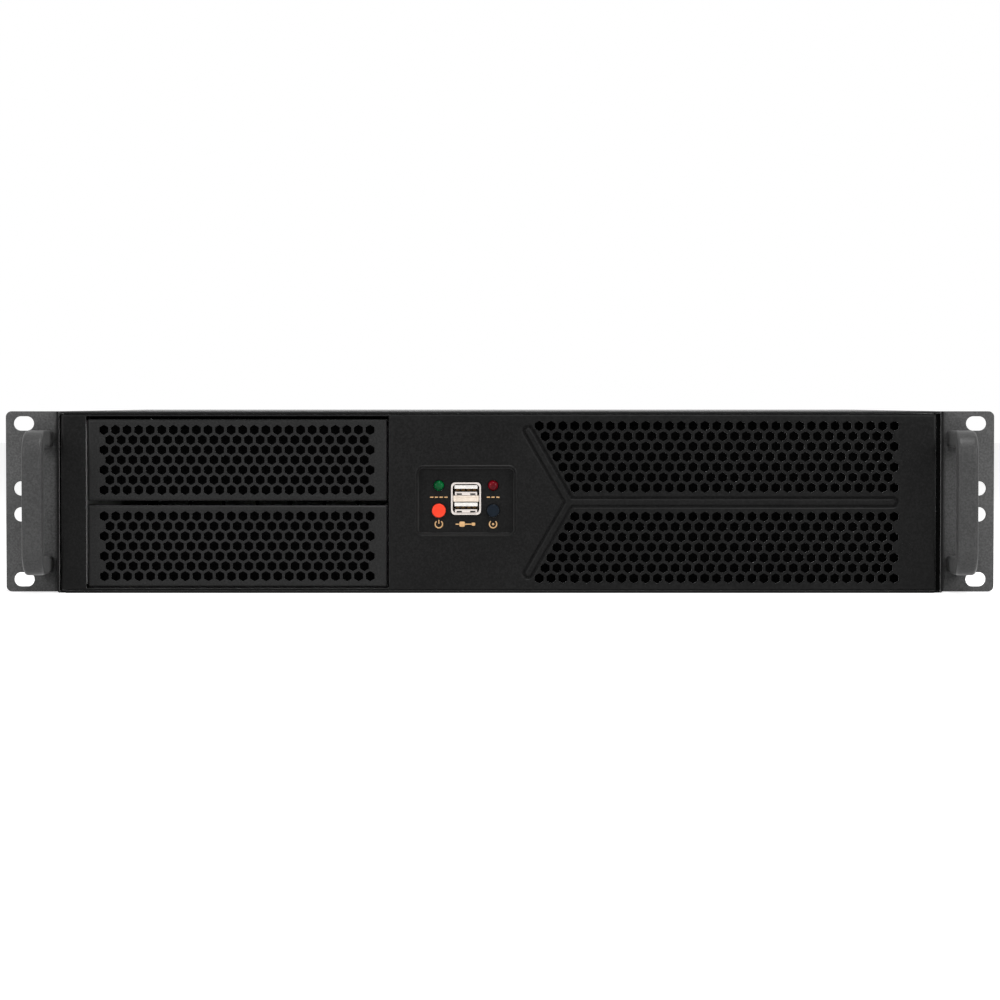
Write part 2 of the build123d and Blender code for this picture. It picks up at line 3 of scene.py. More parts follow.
import bpy
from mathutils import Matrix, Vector


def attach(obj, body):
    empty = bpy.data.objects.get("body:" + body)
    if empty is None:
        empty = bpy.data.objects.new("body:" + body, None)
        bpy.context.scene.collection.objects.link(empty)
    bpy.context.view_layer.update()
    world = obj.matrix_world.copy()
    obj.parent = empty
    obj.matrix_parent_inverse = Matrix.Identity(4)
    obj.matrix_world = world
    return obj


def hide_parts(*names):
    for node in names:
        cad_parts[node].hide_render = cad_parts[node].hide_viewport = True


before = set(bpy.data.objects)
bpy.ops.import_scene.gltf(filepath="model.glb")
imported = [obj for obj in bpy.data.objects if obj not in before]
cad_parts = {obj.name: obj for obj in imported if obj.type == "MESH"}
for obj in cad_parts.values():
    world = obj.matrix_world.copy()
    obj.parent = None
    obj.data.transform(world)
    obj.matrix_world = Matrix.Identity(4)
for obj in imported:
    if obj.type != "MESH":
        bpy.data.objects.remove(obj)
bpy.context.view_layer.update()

print("frame loaded")


# tools of the bench: pieces are modelled in millimetres and brought to metres when they are finished
# cutters start and end a millimetre or more outside what they cut
mm = 0.001
foldAngle = 50  # edges sharper than this are broken, while the steps of a bend stay


def setMode(mode):
    bpy.ops.object.mode_set(mode=mode)


def deselectAll():
    bpy.ops.object.select_all(action="DESELECT")


def makeActive(piece):
    deselectAll()
    piece.select_set(True)
    bpy.context.view_layer.objects.active = piece


def applyPlace(piece):
    makeActive(piece)
    bpy.ops.object.transform_apply(location=True, rotation=True, scale=True)
    return piece


def addBlock(name, x, y, z):
    deselectAll()
    bpy.ops.mesh.primitive_cube_add(size=1)
    piece = bpy.context.object
    piece.name = name
    piece.scale = [high - low for low, high in (x, y, z)]
    piece.location = [(high + low) / 2 for low, high in (x, y, z)]
    return applyPlace(piece)


def addRod(name, radius, start, end, sides=32, axis="Y", centre=(0, 0)):
    # centre holds the two places across the rod's axis, in X, Y, Z order
    deselectAll()
    bpy.ops.mesh.primitive_cylinder_add(vertices=sides, radius=radius, depth=end - start)
    piece = bpy.context.object
    piece.name = name
    middle = (start + end) / 2
    if axis == "Y":
        piece.rotation_euler = (math.pi / 2, 0, 0)
        piece.location = (centre[0], middle, centre[1])
    elif axis == "X":
        piece.rotation_euler = (0, math.pi / 2, 0)
        piece.location = (middle, centre[0], centre[1])
    else:
        piece.location = (centre[0], centre[1], middle)
    return applyPlace(piece)


def flatPlate(name, x, z, y, corner, segments=6):
    # one flat face towards the front, its corners rounded
    deselectAll()
    bpy.ops.mesh.primitive_plane_add(size=1)
    plate = bpy.context.object
    plate.name = name
    plate.scale = (x[1] - x[0], z[1] - z[0], 1)
    plate.rotation_euler = (math.pi / 2, 0, 0)
    plate.location = ((x[0] + x[1]) / 2, y, (z[0] + z[1]) / 2)
    applyPlace(plate)
    pick(plate, "VERT", lambda place: True)
    bpy.ops.mesh.bevel(offset=corner, segments=segments, affect="VERTICES")
    setMode("OBJECT")
    return plate


def pick(piece, kind, test):
    # selects by place or normal and leaves the piece in edit mode
    makeActive(piece)
    setMode("EDIT")
    bpy.ops.mesh.select_mode(type=kind)
    bpy.ops.mesh.select_all(action="DESELECT")
    setMode("OBJECT")
    mesh = piece.data
    if kind == "FACE":
        for face in mesh.polygons:
            face.select = test(face.center, face.normal)
    elif kind == "EDGE":
        for edge in mesh.edges:
            ends = [mesh.vertices[index].co for index in edge.vertices]
            edge.select = test(ends[0], ends[1])
    else:
        for vertex in mesh.vertices:
            vertex.select = test(vertex.co)
    setMode("EDIT")


def pickFaces(piece):
    pick(piece, "FACE", lambda centre, normal: True)


def deepen(plate, depth):
    # turns a flat face into a closed slab that runs back from it
    pickFaces(plate)
    bpy.ops.mesh.extrude_region_move(TRANSFORM_OT_translate={"value": (0, depth, 0)})
    bpy.ops.mesh.select_all(action="SELECT")
    bpy.ops.mesh.normals_make_consistent(inside=False)
    setMode("OBJECT")
    return plate


def press(plate, steps):
    # works inward from a flat face: each step is an inset and a rise towards the viewer
    pickFaces(plate)
    for inset, rise in steps:
        bpy.ops.mesh.inset(thickness=inset, depth=rise)
    setMode("OBJECT")


def copyTo(piece, name, move=(0, 0, 0), turn=(0, 0, 0)):
    makeActive(piece)
    bpy.ops.object.duplicate(linked=False)
    copy = bpy.context.object
    copy.name = name
    copy.rotation_euler = [math.radians(angle) for angle in turn]
    copy.location = move
    return applyPlace(copy)


def joinAll(pieces, name):
    deselectAll()
    for piece in pieces:
        piece.select_set(True)
    bpy.context.view_layer.objects.active = pieces[0]
    if len(pieces) > 1:
        bpy.ops.object.join()
    pieces[0].name = name
    return pieces[0]


def useModifier(piece, kind, **settings):
    makeActive(piece)
    modifier = piece.modifiers.new(kind.title(), kind)
    for key, value in settings.items():
        setattr(modifier, key, value)
    bpy.ops.object.modifier_apply(modifier=modifier.name)


def combine(piece, tool, how="DIFFERENCE"):
    useModifier(piece, "BOOLEAN", operation=how, object=tool, solver="EXACT")
    bpy.data.objects.remove(tool)


def roundEdges(piece, width, segments=2, angle=40):
    useModifier(piece, "BEVEL", width=width, segments=segments, limit_method="ANGLE",
                angle_limit=math.radians(angle), use_clamp_overlap=True)


def thicken(piece, sheet):
    makeActive(piece)
    setMode("EDIT")
    bpy.ops.mesh.select_all(action="SELECT")
    bpy.ops.mesh.remove_doubles(threshold=0.001)
    setMode("OBJECT")
    useModifier(piece, "SOLIDIFY", thickness=sheet, offset=-1, use_even_offset=True)


def cadCopy(node, name):
    # a merged copy of a CAD node, its flat faces whole again, ready for rounded edges
    makeActive(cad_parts[node])
    bpy.ops.object.duplicate(linked=False)
    copy = bpy.context.object
    copy.name = name
    copy.parent = None
    for key in list(copy.keys()):
        del copy[key]
    copy.scale = (1 / mm, 1 / mm, 1 / mm)
    applyPlace(copy)
    setMode("EDIT")
    bpy.ops.mesh.select_all(action="SELECT")
    bpy.ops.mesh.remove_doubles(threshold=0.0005)
    bpy.ops.mesh.dissolve_limited(angle_limit=math.radians(0.4))
    setMode("OBJECT")
    return copy


def finishPiece(piece, body, finish, stands=(), angle=34, weighted=True):
    piece.scale = (mm, mm, mm)
    applyPlace(piece)
    bpy.ops.object.shade_smooth_by_angle(angle=math.radians(angle))
    if weighted:
        useModifier(piece, "WEIGHTED_NORMAL", keep_sharp=True)
    piece.data.materials.clear()
    piece.data.materials.append(finishes[finish])
    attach(piece, body)
    if stands:
        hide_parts(*stands)
    return piece


# finishes: each starts from the real material and how its surface was made

def linear(hexColor):
    values = [int(hexColor[index:index + 2], 16) / 255 for index in (1, 3, 5)]
    return [v / 12.92 if v <= 0.04045 else ((v + 0.055) / 1.055) ** 2.4 for v in values] + [1.0]


fineNoise = {"Detail": 2.0, "Roughness": 0.55}
softNoise = {"Detail": 3.0, "Roughness": 0.55}
noiseSpan = {"From Min": 0.3, "From Max": 0.7}  # nearly all that a noise gives


def addNode(tree, kind, settings=None, links=None):
    # settings fill sockets by name, set properties or give a ramp its stops
    # links join (node, output) to an input, by its name or, where two have one name, its number
    node = tree.nodes.new(kind)
    for key, value in (settings or {}).items():
        if key in node.inputs:
            node.inputs[key].default_value = value
        elif key == "stops":
            while len(node.color_ramp.elements) < len(value):
                node.color_ramp.elements.new(0.5)
            for element, (position, color) in zip(node.color_ramp.elements, value):
                element.position = position
                element.color = linear(color)
        else:
            setattr(node, key, value)
    for key, source in (links or {}).items():
        tree.links.new(source[0].outputs[source[1]], node.inputs[key])
    return node


def newMaterial(name, surface):
    material = bpy.data.materials.new(name)
    material.use_nodes = True
    tree = material.node_tree
    tree.nodes.clear()
    shader = addNode(tree, "ShaderNodeBsdfPrincipled", surface)
    addNode(tree, "ShaderNodeOutputMaterial", links={"Surface": (shader, "BSDF")})
    where = {"Vector": (addNode(tree, "ShaderNodeTexCoord"), "Object")}
    return material, tree, shader, where


def wire(tree, shader, colors, rough, bump):
    # joins a finish's colour, roughness and relief to its shader, where it has them
    for source, output, target in ((colors, "Color", "Base Color"), (rough, "Result", "Roughness"),
                                   (bump, "Normal", "Normal")):
        if source:
            tree.links.new(source.outputs[output], shader.inputs[target])


def makePowderCoat(name, dark, middle, light, roughness, gloss=0.08, sheen=0.05):
    # polyester powder baked on steel: dull, with a fine sandy grain, a slow, faint unevenness and a slight
    # dusty sheen that lights its pressed edges
    # the grain is drawn at 0.9 mm, coarser than the real 0.2 mm, so that it shows at all
    material, tree, shader, where = newMaterial(name, {"IOR": 1.5, "Specular IOR Level": gloss,
                                                       "Sheen Weight": sheen, "Sheen Roughness": 0.3})
    sand = addNode(tree, "ShaderNodeTexNoise", {"Scale": 1 / (0.9 * mm), **fineNoise}, where)
    cloud = addNode(tree, "ShaderNodeTexNoise", {"Scale": 1 / (26 * mm), **softNoise}, where)
    blend = addNode(tree, "ShaderNodeMix", {"data_type": "FLOAT", "Factor": 0.75},
                    {"A": (cloud, "Fac"), "B": (sand, "Fac")})
    colors = addNode(tree, "ShaderNodeValToRGB", {"stops": [(0.38, dark), (0.5, middle), (0.62, light)]},
                     {"Fac": (blend, "Result")})
    rough = addNode(tree, "ShaderNodeMapRange",
                    {**noiseSpan, "To Min": roughness - 0.07, "To Max": roughness + 0.07},
                    {"Value": (sand, "Fac")})
    wave = addNode(tree, "ShaderNodeBump", {"Strength": 0.25, "Distance": 0.05 * mm},
                   {"Height": (cloud, "Fac")})
    grain = addNode(tree, "ShaderNodeBump", {"Strength": 0.6, "Distance": 0.06 * mm},
                    {"Height": (sand, "Fac"), "Normal": (wave, "Normal")})
    wire(tree, shader, colors, rough, grain)
    return material


def makeBlackFoamAndShade():
    # open-cell polyurethane foam: matt black and full of pores
    # the pores are drawn 0.9 mm wide, coarser than the real 0.5 mm, so that they show
    # besides the dust filter it dresses black strips and pads that are painted shade, in gaps and behind
    # holes
    material, tree, shader, where = newMaterial("openCellFoamAndPaintedShade", {"IOR": 1.45, "Roughness": 0.95,
                                                                 "Specular IOR Level": 0.05})
    pores = addNode(tree, "ShaderNodeTexVoronoi", {"Scale": 1 / (0.9 * mm), "Randomness": 1.0}, where)
    colors = addNode(tree, "ShaderNodeValToRGB", {"stops": [(0.15, "#010101"), (0.55, "#080808")]},
                     {"Fac": (pores, "Distance")})
    pits = addNode(tree, "ShaderNodeBump", {"Strength": 0.8, "Distance": 0.4 * mm},
                   {"Height": (pores, "Distance")})
    wire(tree, shader, colors, None, pits)
    return material


def makeZincSheet():
    # galvanised steel sheet: bright, with soft spangles 9 mm wide and rolling lines
    # the lines are drawn 0.8 mm apart, coarser than the real 0.1 mm, so that they show
    material, tree, shader, where = newMaterial("galvanisedSteel", {"Metallic": 1.0})
    spangle = addNode(tree, "ShaderNodeTexVoronoi", {"Scale": 1 / (9 * mm), "Randomness": 1.0}, where)
    run = addNode(tree, "ShaderNodeMapping", {"Scale": (1, 1, 0.03)}, where)
    lines = addNode(tree, "ShaderNodeTexNoise", {"Scale": 1 / (0.8 * mm), **fineNoise},
                    {"Vector": (run, "Vector")})
    value = addNode(tree, "ShaderNodeSeparateColor", links={"Color": (spangle, "Color")})
    colors = addNode(tree, "ShaderNodeValToRGB",
                     {"stops": [(0.0, "#8F9396"), (0.5, "#9EA1A3"), (1.0, "#AEB1B1")]},
                     {"Fac": (value, "Red")})
    rough = addNode(tree, "ShaderNodeMapRange", {**noiseSpan, "To Min": 0.36, "To Max": 0.5},
                    {"Value": (lines, "Fac")})
    scratch = addNode(tree, "ShaderNodeBump", {"Strength": 0.5, "Distance": 0.015 * mm},
                      {"Height": (lines, "Fac")})
    wire(tree, shader, colors, rough, scratch)
    return material


def makeMetal(name, color, roughness, marks, depth, stretch):
    # bare or plated metal: one even colour, and the marks of its tool, some tenths of a millimetre apart
    # the marks are drawn three to five times as coarse as the real ones, so that they show
    material, tree, shader, where = newMaterial(name, {"Metallic": 1.0, "Base Color": linear(color)})
    run = addNode(tree, "ShaderNodeMapping", {"Scale": stretch}, where)
    lines = addNode(tree, "ShaderNodeTexNoise", {"Scale": 1 / (marks * mm), **fineNoise},
                    {"Vector": (run, "Vector")})
    rough = addNode(tree, "ShaderNodeMapRange",
                    {**noiseSpan, "To Min": roughness - 0.05, "To Max": roughness + 0.08},
                    {"Value": (lines, "Fac")})
    scratch = addNode(tree, "ShaderNodeBump", {"Strength": 0.5, "Distance": depth * mm},
                      {"Height": (lines, "Fac")})
    wire(tree, shader, None, rough, scratch)
    return material


def makePlastic(name, dark, light, roughness, skin, gloss=0.25):
    # injection moulded: an even colour with a slight mottle and the mould's fine skin
    # the skin is drawn 0.2 to 0.3 mm wide, coarser than the real 0.1 mm, so that it shows
    material, tree, shader, where = newMaterial(name, {"IOR": 1.53, "Specular IOR Level": gloss})
    mottle = addNode(tree, "ShaderNodeTexNoise", {"Scale": 1 / (2.5 * mm), **softNoise}, where)
    fine = addNode(tree, "ShaderNodeTexNoise", {"Scale": 1 / (skin * mm), **fineNoise}, where)
    colors = addNode(tree, "ShaderNodeValToRGB", {"stops": [(0.35, dark), (0.65, light)]},
                     {"Fac": (mottle, "Fac")})
    rough = addNode(tree, "ShaderNodeMapRange",
                    {**noiseSpan, "To Min": roughness - 0.04, "To Max": roughness + 0.06},
                    {"Value": (fine, "Fac")})
    pimples = addNode(tree, "ShaderNodeBump", {"Strength": 0.35, "Distance": 0.02 * mm},
                      {"Height": (fine, "Fac")})
    wire(tree, shader, colors, rough, pimples)
    return material


def makeLens(name, dark, light):
    # tinted epoxy cast round the chip: a deep, slightly clouded colour under a wet gloss
    material, tree, shader, where = newMaterial(name, {"IOR": 1.53, "Roughness": 0.07,
                                                       "Specular IOR Level": 0.09})
    cloud = addNode(tree, "ShaderNodeTexNoise", {"Scale": 1 / (3 * mm), "Detail": 1.0, "Roughness": 0.5},
                    where)
    colors = addNode(tree, "ShaderNodeValToRGB", {"stops": [(0.35, dark), (0.65, light)]},
                     {"Fac": (cloud, "Fac")})
    wire(tree, shader, colors, None, None)
    return material


def makeBoardMask():
    # glass laminate under green solder mask: copper lanes show lighter and slightly raised
    # the lanes are drawn 0.45 mm wide on a 9 mm grid, coarser than real ones
    material, tree, shader, where = newMaterial("greenSolderMask", {"IOR": 1.5, "Roughness": 0.3})
    turn = addNode(tree, "ShaderNodeMapping", {"Rotation": (math.pi / 2, 0, 0)}, where)
    lanes = addNode(tree, "ShaderNodeTexBrick",
                    {"Scale": 1 / (9 * mm), "Mortar Size": 0.05, "Mortar Smooth": 0.1, "Row Height": 0.22,
                     "Color1": linear("#0F4A2A"), "Color2": linear("#0C4226"),
                     "Mortar": linear("#1C6B3D")}, {"Vector": (turn, "Vector")})
    weave = addNode(tree, "ShaderNodeTexNoise", {"Scale": 1 / (0.6 * mm), "Detail": 1.0, "Roughness": 0.55},
                    where)
    under = addNode(tree, "ShaderNodeBump", {"Strength": 0.2, "Distance": 0.01 * mm},
                    {"Height": (weave, "Fac")})
    over = addNode(tree, "ShaderNodeBump", {"Strength": 0.5, "Distance": 0.03 * mm},
                   {"Height": (lanes, "Color"), "Normal": (under, "Normal")})
    wire(tree, shader, lanes, None, over)
    return material


finishes = {
    "coat": makePowderCoat("blackPowderCoat", "#131313", "#171717", "#1C1C1C", 0.36, 0.06, 0.34),
    "coverCoat": makePowderCoat("blackPowderCoatCovers", "#222222", "#262626", "#2B2B2B", 0.36, 0.06, 0.08),
    # the ears take the panel's own black powder coat, painted lighter: a painted highlight for the side light
    # that falls on them
    "litEarCoat": makePowderCoat("blackPowderCoatEarsPaintedLight", "#4B4B4B", "#545454", "#5D5D5D", 0.45, 0.05),
    "handleCoat": makePowderCoat("satinBlackPaint", "#3A3A3A", "#404040", "#464646", 0.36, 0.12),
    "foam": makeBlackFoamAndShade(),
    "zinc": makeZincSheet(),
    "brass": makeMetal("turnedBrass", "#C9A55C", 0.28, 0.35, 0.02, (1, 1, 6)),
    "nickel": makeMetal("nickelPlatedSteel", "#CFC7C2", 0.32, 0.9, 0.01, (1, 1, 1)),
    # the gold contacts are painted dark brown: painted shade for their place deep under the socket's tongue;
    # the board's pins share this colour
    "goldInPaintedShade": makeMetal("goldContactPaintedShade", "#4A3722", 0.4, 0.4, 0.01, (1, 1, 1)),
    "screw": makeMetal("blackZincScrew", "#39393B", 0.36, 0.3, 0.015, (1, 1, 1)),
    "brightScrew": makeMetal("zincPlatedScrew", "#B8B9B6", 0.33, 0.3, 0.015, (1, 1, 1)),
    "solder": makeMetal("tinSolder", "#C3C5C6", 0.3, 0.7, 0.03, (1, 1, 1)),
    "red": makePlastic("orangeRedAbs", "#EB3A20", "#F54427", 0.42, 0.25),
    "blueBlack": makePlastic("blueBlackAbs", "#08111A", "#0D1721", 0.32, 0.25, 0.1),
    "switch": makePlastic("blackNylon", "#161617", "#1D1D1E", 0.5, 0.3),
    "white": makePlastic("whiteGlassFilledNylon", "#E4E1DD", "#EDEAE6", 0.4, 0.3),
    "cream": makePlastic("creamGlassFilledNylon", "#DCCDBD", "#E6D8C9", 0.45, 0.3),
    "chip": makePlastic("blackEpoxyChip", "#0C0B0B", "#141312", 0.55, 0.2),
    "greenLens": makeLens("greenEpoxyLens", "#014220", "#025E2D"),
    "redLens": makeLens("redEpoxyLens", "#4E030D", "#6E0815"),
    "ink": makePlastic("goldScreenInk", "#D0A472", "#DDB482", 0.6, 0.3),
    "mask": makeBoardMask(),
}
print("finishes made")


# front panel: one folded sheet with the bay opening, two hexagon fields, a pressed Y and a control recess
frontPanel = {"x": (-212.9, 211.5), "y": (-14.0, 0.0), "z": (1.2, 86.8), "sheet": 1.0, "bend": 1.5,
              "bayX": (-200.7, -53.9), "bayZ": (2.2, 85.8), "middle": 44.05, "rim": 0.3}
grille = {"radius": 2.5, "pitch": 5.738, "rowPitch": 4.99, "topRow": 81.02, "rightEnd": 191.17,
          "leftEnd": 19.09, "rows": 7}
# black strips behind the grille's end, above the bay and in the gaps at the panel's sides: painted shade,
# dark pieces set where these gaps lie in shade
shadeStrips = {"endShadeStrip": ((186.0, 200.0), (-5.2, -3.4), (4.2, 83.9)),
           "bayShadeStrip": ((-199.6, -55.0), (-6.5, -5.0), (84.4, 86.2)),
           "rightShadeStrip": ((211.55, 213.75), (-12.4, -8.0), (1.3, 87.0)),
           "leftShadeStrip": ((-213.75, -212.95), (-12.4, -8.0), (1.3, 87.0))}
foamEdge = 0.2
pressedY = {"half": 3.35, "armTip": (13.7, 34.6), "joint": 33.6, "stemEnd": 190.6, "sheet": 0.8,
            "steps": [(0.2, -0.06), (0.25, -0.22), (0.3, -0.36), (0.3, -0.36), (0.2, -0.14), (0.15, 0.0),
                      (0.15, 0.08), (0.25, 0.3), (0.25, 0.3), (0.3, 0.24), (0.3, 0.12), (0.3, 0.04)]}
clinches = {"radius": 3.0, "line": 0.22, "depth": 0.12, "places": [(196.7, 66.45), (196.7, 21.65)]}
recess = {"x": (-41.2, 8.3), "z": (27.0, 62.0), "corner": 3.8, "floor": -11.4,
          "steps": [(0.25, 0.2), (0.3, 0.16), (0.2, 0.0), (0.3, -0.26), (0.35, -0.85), (0.4, -1.05),
                    (0.25, -0.6), (0.25, -0.2)]}
lamps = {"x": (-29.7, -3.35), "z": 52.1, "radius": 2.5, "tip": -13.0, "dome": 1.9, "end": -4.4,
         "hole": 2.75, "leadPitch": 2.54, "leadHalf": 0.25}
keys = {"x": (-29.7, -3.35), "z": 39.9, "radii": (3.3, 3.0), "front": -13.4, "gap": 0.25, "edge": 0.35,
        "rim": 0.25, "dishSlope": 0.3, "dish": -0.12, "flangeY": -10.1, "flangeThick": 1.2,
        "flangeRim": 1.0, "flangeEdge": 0.3, "stem": 3.0, "stemEnd": 0.6, "stemEdge": 0.2}
usb = {"x": -16.5, "z": 45.75, "width": 14.6, "height": 15.8, "corner": 1.9, "front": -12.2, "back": 5.0,
       "rim": 0.85, "edge": 0.22, "rise": 4.25, "gap": 0.3, "turns": 4}


def hexRow(x, z, count, radius, pitch, depth):
    # one pointed-top hexagon cutter, copied along the row
    row = addRod("hexRow", radius, depth[0], depth[1], 6, "Y", (x, z))
    useModifier(row, "ARRAY", count=count, use_relative_offset=False, use_constant_offset=True,
                constant_offset_displace=(pitch, 0, 0))
    return row


def yOutline(y):
    # the Y's flat outline: a triangle, its three sides pushed out, the six far corners rounded
    half = pressedY["half"]
    middle = frontPanel["middle"]
    joint = Vector((pressedY["joint"], y, middle))
    deselectAll()
    bpy.ops.mesh.primitive_circle_add(vertices=3, radius=2 * half / math.sqrt(3), fill_type="NGON")
    outline = bpy.context.object
    outline.name = "pressedY"
    outline.rotation_euler = (math.pi / 2, math.radians(30), 0)
    outline.location = joint
    applyPlace(outline)
    across, rise = pressedY["armTip"]
    side = half / math.sqrt(3)
    for end in ((pressedY["stemEnd"], middle), (across, middle + rise), (across, middle - rise)):
        run = Vector((end[0], y, end[1])) - joint
        way = run.normalized()
        pick(outline, "EDGE", lambda a, b: abs(((a + b) / 2 - joint).dot(way) - side) < 0.01)
        bpy.ops.mesh.extrude_region_move(
            TRANSFORM_OT_translate={"value": way * (run.length + half - side)})
        setMode("OBJECT")
    pickFaces(outline)
    bpy.ops.mesh.dissolve_faces()
    setMode("OBJECT")
    # the far corners, rounded by a hair less than half the width: the short edge left between is merged
    corner = half * 0.9995
    pick(outline, "VERT", lambda place: (place - joint).length > 4 * half)
    bpy.ops.mesh.bevel(offset=corner, segments=12, affect="VERTICES")
    bpy.ops.mesh.select_all(action="SELECT")
    bpy.ops.mesh.remove_doubles(threshold=0.02)
    bpy.ops.mesh.normals_make_consistent(inside=False)
    setMode("OBJECT")
    if outline.data.polygons[0].normal.y > 0:
        pickFaces(outline)
        bpy.ops.mesh.flip_normals()
        setMode("OBJECT")
    return outline


def foldedTray(name, x, y, z, sheet, bend):
    # a sheet folded back on four sides, open behind
    tray = addBlock(name, x, y, z)
    pick(tray, "FACE", lambda centre, normal: normal.y > 0.9)
    bpy.ops.mesh.delete(type="FACE")
    setMode("OBJECT")
    pick(tray, "EDGE", lambda a, b: abs(a.y - y[0]) < 0.01 and abs(b.y - y[0]) < 0.01)
    bpy.ops.mesh.bevel(offset=bend, segments=5, affect="EDGES")
    setMode("OBJECT")
    thicken(tray, sheet)
    return tray


def ringCutter(place, start, depth, axis="Y"):
    # a shallow round groove, as a clinched stud or a pressed nut leaves
    outer = addRod("ring", clinches["radius"], start, start + depth, 32, axis, place)
    combine(outer, addRod("core", clinches["radius"] - clinches["line"], start - 1, start + depth + 1, 32,
                          axis, place))
    return outer


def usbPlate(inset, y):
    half = (usb["width"] / 2 - inset, usb["height"] / 2 - inset)
    return flatPlate("usbOutline", (usb["x"] - half[0], usb["x"] + half[0]),
                     (usb["z"] - half[1], usb["z"] + half[1]), y, usb["corner"], usb["turns"])


def makeFrontPanel():
    settings = frontPanel
    front = settings["y"][0]
    panel = foldedTray("frontPanelSkin", settings["x"], settings["y"], settings["z"], settings["sheet"],
                       settings["bend"])
    combine(panel, addBlock("bayCut", settings["bayX"], (front - 2, front + 2.5), settings["bayZ"]))
    rows = []
    # rows are set half a pitch apart, and their left ends follow the Y's arms (0.1 covers rounding)
    for index in range(grille["rows"]):
        drop = index * grille["rowPitch"]
        right = grille["rightEnd"] - (index % 2) * grille["pitch"] / 2
        left = grille["leftEnd"] + index * grille["pitch"] / 2
        count = int((right - left) / grille["pitch"] + 0.1) + 1
        start = right - (count - 1) * grille["pitch"]
        for z in (grille["topRow"] - drop, 2 * settings["middle"] - grille["topRow"] + drop):
            rows.append(hexRow(start, z, count, grille["radius"], grille["pitch"], (front - 2, front + 3)))
    combine(panel, joinAll(rows, "hexCuts"))
    grooves = [ringCutter(place, front - 1, 1 + clinches["depth"]) for place in clinches["places"]]
    combine(panel, joinAll(grooves, "grooves"))
    roundEdges(panel, settings["rim"], 2, foldAngle)
    combine(panel, deepen(yOutline(front - 1), 3.5))
    combine(panel, deepen(flatPlate("recessCut", recess["x"], recess["z"], front - 1, recess["corner"]), 3.5))
    ridge = yOutline(front)
    press(ridge, pressedY["steps"])
    thicken(ridge, pressedY["sheet"])
    pan = flatPlate("recessPan", recess["x"], recess["z"], front, recess["corner"])
    press(pan, recess["steps"])
    thicken(pan, settings["sheet"])
    floor = recess["floor"]
    holes = [addRod("hole", lamps["hole"], floor - 1, floor + 2, 40, "Y", (x, lamps["z"]))
             for x in lamps["x"]]
    for x, radius in zip(keys["x"], keys["radii"]):
        holes.append(addRod("hole", radius + keys["gap"], floor - 1, floor + 2, 40, "Y", (x, keys["z"])))
    holes.append(deepen(usbPlate(-usb["gap"], floor - 1), 3))
    combine(pan, joinAll(holes, "holes"))
    panel = joinAll([panel, ridge, pan], "frontPanelSkin")
    finishPiece(panel, "case", "coat", ["front_panel"], weighted=False)
    # the painted shade strips, finished in the black foam
    for name in shadeStrips:
        strip = addBlock(name, *shadeStrips[name])
        roundEdges(strip, foamEdge)
        finishPiece(strip, "case", "foam")


makeFrontPanel()
print("front panel made")


# bay covers: perforated blanks folded to trays, with long side flanges that clip into the cage
bayCover = {"x": (-199.81, -54.8), "front": -13.5, "depth": 28.0, "lip": 6.0, "height": 39.45,
            "bottoms": {"lower": 2.95, "upper": 44.8}, "sheet": 1.0, "bend": 1.3, "pitch": 5.61,
            "rowPitch": 4.855, "rows": 7, "longRow": 24, "radius": 2.5, "centre": -127.55, "rim": 0.28,
            "wall": 1.6, "lipHeight": 2.0, "foam": (-10.0, -8.8), "foamGap": 0.4}


def makeBayCover(side):
    settings = bayCover
    bottom = settings["bottoms"][side]
    top = bottom + settings["height"]
    front = settings["front"]
    cover = foldedTray(side + "CoverSkin", settings["x"], (front, front + settings["depth"]), (bottom, top),
                       settings["sheet"], settings["bend"])
    # the lower and upper flanges are cut back to a lip
    wall, rise = settings["wall"], settings["lipHeight"]
    inner = (settings["x"][0] + wall, settings["x"][1] - wall)
    lip = (front + settings["lip"], front + settings["depth"] + 1)
    for low, high in ((bottom - 1, bottom + rise), (top - rise, top + 1)):
        combine(cover, addBlock("lipCut", inner, lip, (low, high)))
    rows = []
    for index in range(settings["rows"]):
        count = settings["longRow"] - index % 2
        z = (bottom + top) / 2 + (index - (settings["rows"] - 1) / 2) * settings["rowPitch"]
        start = settings["centre"] - (count - 1) / 2 * settings["pitch"]
        rows.append(hexRow(start, z, count, settings["radius"], settings["pitch"], (front - 2, front + 3)))
    combine(cover, joinAll(rows, "hexCuts"))
    roundEdges(cover, settings["rim"], 2, foldAngle)
    finishPiece(cover, side + "_cover", "coverCoat", ["bay_cover_" + side],
                weighted=False)
    # a black pad behind each cover's holes: painted shade, standing in for the dark depth of the case behind
    # them
    gap = settings["foamGap"]
    pad = addBlock(side + "CoverShadePad", (inner[0] + gap, inner[1] - gap), settings["foam"],
                   (bottom + wall, top - wall))
    roundEdges(pad, foamEdge)
    finishPiece(pad, side + "_cover", "foam")


for side in ("upper", "lower"):
    makeBayCover(side)
print("bay covers made")


